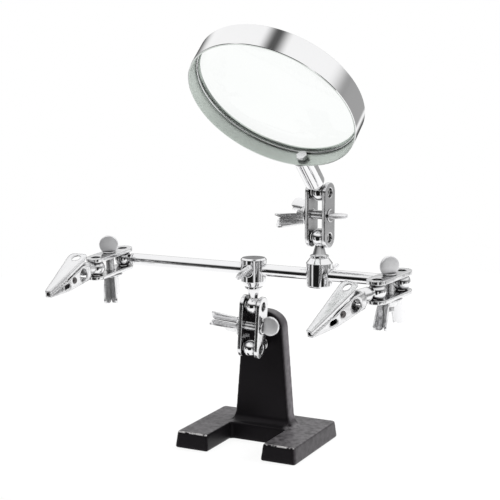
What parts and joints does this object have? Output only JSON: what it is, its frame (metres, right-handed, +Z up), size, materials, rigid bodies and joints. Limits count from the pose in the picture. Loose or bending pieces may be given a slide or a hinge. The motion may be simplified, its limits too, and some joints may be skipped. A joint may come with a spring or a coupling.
{
  "type": "helping hands clamp",
  "caption": "Bench-top helping hands: iron base, ball-jointed cross arm, spring-jawed crocodile clips at its ends and a round magnifier on its own jointed mount.",
  "frame": {"origin": "on the underside of the base, at mid-width, below the middle of the upright", "axes": "+X from the left foot to the right foot, +Y to the back, +Z up"},
  "size_m": [0.1963, 0.1301, 0.2439],
  "materials": {
    "black_paint": "semi-gloss black paint on a cast surface",
    "chrome": "bright chrome plating on steel",
    "plated_steel": "satin nickel plating on steel",
    "dark_steel": "dark oiled spring steel",
    "glass": "polished clear glass"
  },
  "bodies": {
    "base": {"base_casting": "black_paint"},
    "base_ball": {"base_ball_stud": "chrome"},
    "centre_clamp": {"centre_plate_left": "plated_steel", "centre_plate_right": "plated_steel"},
    "centre_screw": {"centre_thumbscrew": "chrome"},
    "centre_nut": {"centre_wing_nut": "chrome"},
    "cross_ball": {"cross_ball_stud": "chrome"},
    "cross_block": {"cross_block": "chrome"},
    "cross_screw": {"cross_thumbscrew": "chrome"},
    "rod": {"main_rod": "chrome"},
    "left_rod_ball": {"left_rod_ball": "chrome"},
    "right_rod_ball": {"right_rod_ball": "chrome"},
    "mag_block": {"mag_block": "chrome"},
    "mag_screw": {"mag_thumbscrew": "chrome"},
    "mag_ball": {"mag_ball_stud": "chrome"},
    "mag_clamp": {"mag_plate_left": "plated_steel", "mag_plate_right": "plated_steel"},
    "mag_clamp_screw": {"mag_clamp_thumbscrew": "chrome"},
    "mag_nut": {"mag_wing_nut": "chrome"},
    "handle_ball": {"handle_ball_stud": "chrome"},
    "magnifier": {"handle_sleeve": "chrome", "rim_screw": "dark_steel", "lens_rim": "chrome", "lens": "glass", "retaining_ring": "plated_steel"},
    "left_clamp": {"left_plate_lower": "plated_steel", "left_plate_upper": "plated_steel"},
    "left_screw": {"left_thumbscrew": "chrome"},
    "left_nut": {"left_wing_nut": "chrome"},
    "left_clip_ball": {"left_clip_ball": "chrome"},
    "left_clip": {"left_lower_jaw": "chrome", "left_pivot_pin": "plated_steel", "left_spring": "dark_steel"},
    "left_lever": {"left_upper_jaw": "chrome"},
    "right_clamp": {"right_plate_lower": "plated_steel", "right_plate_upper": "plated_steel"},
    "right_screw": {"right_thumbscrew": "chrome"},
    "right_nut": {"right_wing_nut": "chrome"},
    "right_clip_ball": {"right_clip_ball": "chrome"},
    "right_clip": {"right_lower_jaw": "chrome", "right_pivot_pin": "plated_steel", "right_spring": "dark_steel"},
    "right_lever": {"right_upper_jaw": "chrome"}
  },
  "joints": [
    {"name": "base_ball_twist", "type": "hinge", "parent": "base", "child": "base_ball", "pos_m": [0, -0.0185, 0.0593], "axis": [0, 1, 0], "range_deg": [-40, 40]},
    {"name": "centre_swing", "type": "hinge", "parent": "base_ball", "child": "centre_clamp", "pos_m": [0, -0.0185, 0.0593], "axis": [0.9984, 0, -0.0558], "range_deg": [-10, 50]},
    {"name": "cross_swing", "type": "hinge", "parent": "centre_clamp", "child": "cross_ball", "pos_m": [0.00142, -0.0185, 0.08466], "axis": [0.9984, 0, -0.0558], "range_deg": [-30, 40]},
    {"name": "cross_turn", "type": "hinge", "parent": "cross_ball", "child": "cross_block", "pos_m": [0.00142, -0.0185, 0.08466], "axis": [0, 0, 1], "range_deg": [-75, 75]},
    {"name": "rod_slide", "type": "slide", "parent": "cross_block", "child": "rod", "axis": [1, 0, 0], "range_m": [-0.02, 0.04]},
    {"name": "mag_slide", "type": "slide", "parent": "rod", "child": "mag_block", "axis": [-1, 0, 0], "range_m": [-0.018, 0.02]},
    {"name": "mag_turn", "type": "hinge", "parent": "mag_block", "child": "mag_ball", "pos_m": [0.04272, -0.0185, 0.12746], "axis": [0, 0, 1], "range_deg": [-60, 60]},
    {"name": "mag_swing", "type": "hinge", "parent": "mag_ball", "child": "mag_clamp", "pos_m": [0.04272, -0.0185, 0.12746], "axis": [0.9962, -0.0872, 0], "range_deg": [-25, 40]},
    {"name": "lens_swing", "type": "hinge", "parent": "mag_clamp", "child": "handle_ball", "pos_m": [0.04272, -0.0185, 0.15286], "axis": [0.9962, -0.0872, 0], "range_deg": [-40, 35]},
    {"name": "lens_twist", "type": "hinge", "parent": "handle_ball", "child": "magnifier", "pos_m": [0.04272, -0.0185, 0.15286], "axis": [-0.037, -0.7164, 0.6967], "range_deg": [-60, 60]},
    {"name": "left_end_twist", "type": "hinge", "parent": "rod", "child": "left_rod_ball", "pos_m": [-0.08728, -0.0185, 0.10606], "axis": [-1, 0, 0], "range_deg": [-40, 40]},
    {"name": "left_end_swing", "type": "hinge", "parent": "left_rod_ball", "child": "left_clamp", "pos_m": [-0.08728, -0.0185, 0.10606], "axis": [0, -0.0924, 0.9957], "range_deg": [-50, 40]},
    {"name": "left_clip_swing", "type": "hinge", "parent": "left_clamp", "child": "left_clip_ball", "pos_m": [-0.09007, -0.04364, 0.10373], "axis": [0, 0.0924, -0.9957], "range_deg": [-45, 45]},
    {"name": "left_clip_twist", "type": "hinge", "parent": "left_clip_ball", "child": "left_clip", "pos_m": [-0.09007, -0.04364, 0.10373], "axis": [0.0377, -0.994, 0.1029], "range_deg": [-90, 90]},
    {"name": "left_lever_press", "type": "hinge", "parent": "left_clip", "child": "left_lever", "pos_m": [-0.08888, -0.07442, 0.10149], "axis": [-0.9993, -0.0382, -0.0035], "range_deg": [0, 15], "stiffness_Nm_per_rad": 0.15, "springref_deg": -22.92, "deforming": ["left_spring"]},
    {"name": "right_end_twist", "type": "hinge", "parent": "rod", "child": "right_rod_ball", "pos_m": [0.09162, -0.0185, 0.10606], "axis": [1, 0, 0], "range_deg": [-40, 40]},
    {"name": "right_end_swing", "type": "hinge", "parent": "right_rod_ball", "child": "right_clamp", "pos_m": [0.09162, -0.0185, 0.10606], "axis": [0, -0.0558, 0.9984], "range_deg": [-40, 50]},
    {"name": "right_clip_swing", "type": "hinge", "parent": "right_clamp", "child": "right_clip_ball", "pos_m": [0.08695, -0.04343, 0.10467], "axis": [0, 0.0558, -0.9984], "range_deg": [-45, 45]},
    {"name": "right_clip_twist", "type": "hinge", "parent": "right_clip_ball", "child": "right_clip", "pos_m": [0.08695, -0.04343, 0.10467], "axis": [-0.3696, -0.926, -0.0762], "range_deg": [-90, 90]},
    {"name": "right_lever_press", "type": "hinge", "parent": "right_clip", "child": "right_lever", "pos_m": [0.07575, -0.07117, 0.09697], "axis": [-0.9291, 0.3692, 0.0206], "range_deg": [0, 15], "stiffness_Nm_per_rad": 0.15, "springref_deg": -22.92, "deforming": ["right_spring"]},
    {"name": "centre_screw_turn", "type": "hinge", "parent": "centre_clamp", "child": "centre_screw", "pos_m": [0.00071, -0.0185, 0.07198], "axis": [0.9984, 0, -0.0558], "continuous": true},
    {"name": "centre_nut_turn", "type": "hinge", "parent": "centre_clamp", "child": "centre_nut", "pos_m": [0.00071, -0.0185, 0.07198], "axis": [0.9984, 0, -0.0558], "continuous": true},
    {"name": "mag_clamp_screw_turn", "type": "hinge", "parent": "mag_clamp", "child": "mag_clamp_screw", "pos_m": [0.04272, -0.0185, 0.14016], "axis": [0.9962, -0.0872, 0], "continuous": true},
    {"name": "mag_nut_turn", "type": "hinge", "parent": "mag_clamp", "child": "mag_nut", "pos_m": [0.04272, -0.0185, 0.14016], "axis": [0.9962, -0.0872, 0], "continuous": true},
    {"name": "left_screw_turn", "type": "hinge", "parent": "left_clamp", "child": "left_screw", "pos_m": [-0.08868, -0.03107, 0.10489], "axis": [0, -0.0924, 0.9957], "continuous": true},
    {"name": "left_nut_turn", "type": "hinge", "parent": "left_clamp", "child": "left_nut", "pos_m": [-0.08868, -0.03107, 0.10489], "axis": [0, -0.0924, 0.9957], "continuous": true},
    {"name": "right_screw_turn", "type": "hinge", "parent": "right_clamp", "child": "right_screw", "pos_m": [0.08928, -0.03096, 0.10536], "axis": [0, -0.0558, 0.9984], "continuous": true},
    {"name": "right_nut_turn", "type": "hinge", "parent": "right_clamp", "child": "right_nut", "pos_m": [0.08928, -0.03096, 0.10536], "axis": [0, -0.0558, 0.9984], "continuous": true},
    {"name": "cross_screw_turn", "type": "hinge", "parent": "cross_block", "child": "cross_screw", "pos_m": [0.00142, -0.0185, 0.10606], "axis": [0, -1, 0], "continuous": true},
    {"name": "mag_screw_turn", "type": "hinge", "parent": "mag_block", "child": "mag_screw", "pos_m": [0.04272, -0.0185, 0.10606], "axis": [0, 1, 0], "continuous": true}
  ]
}
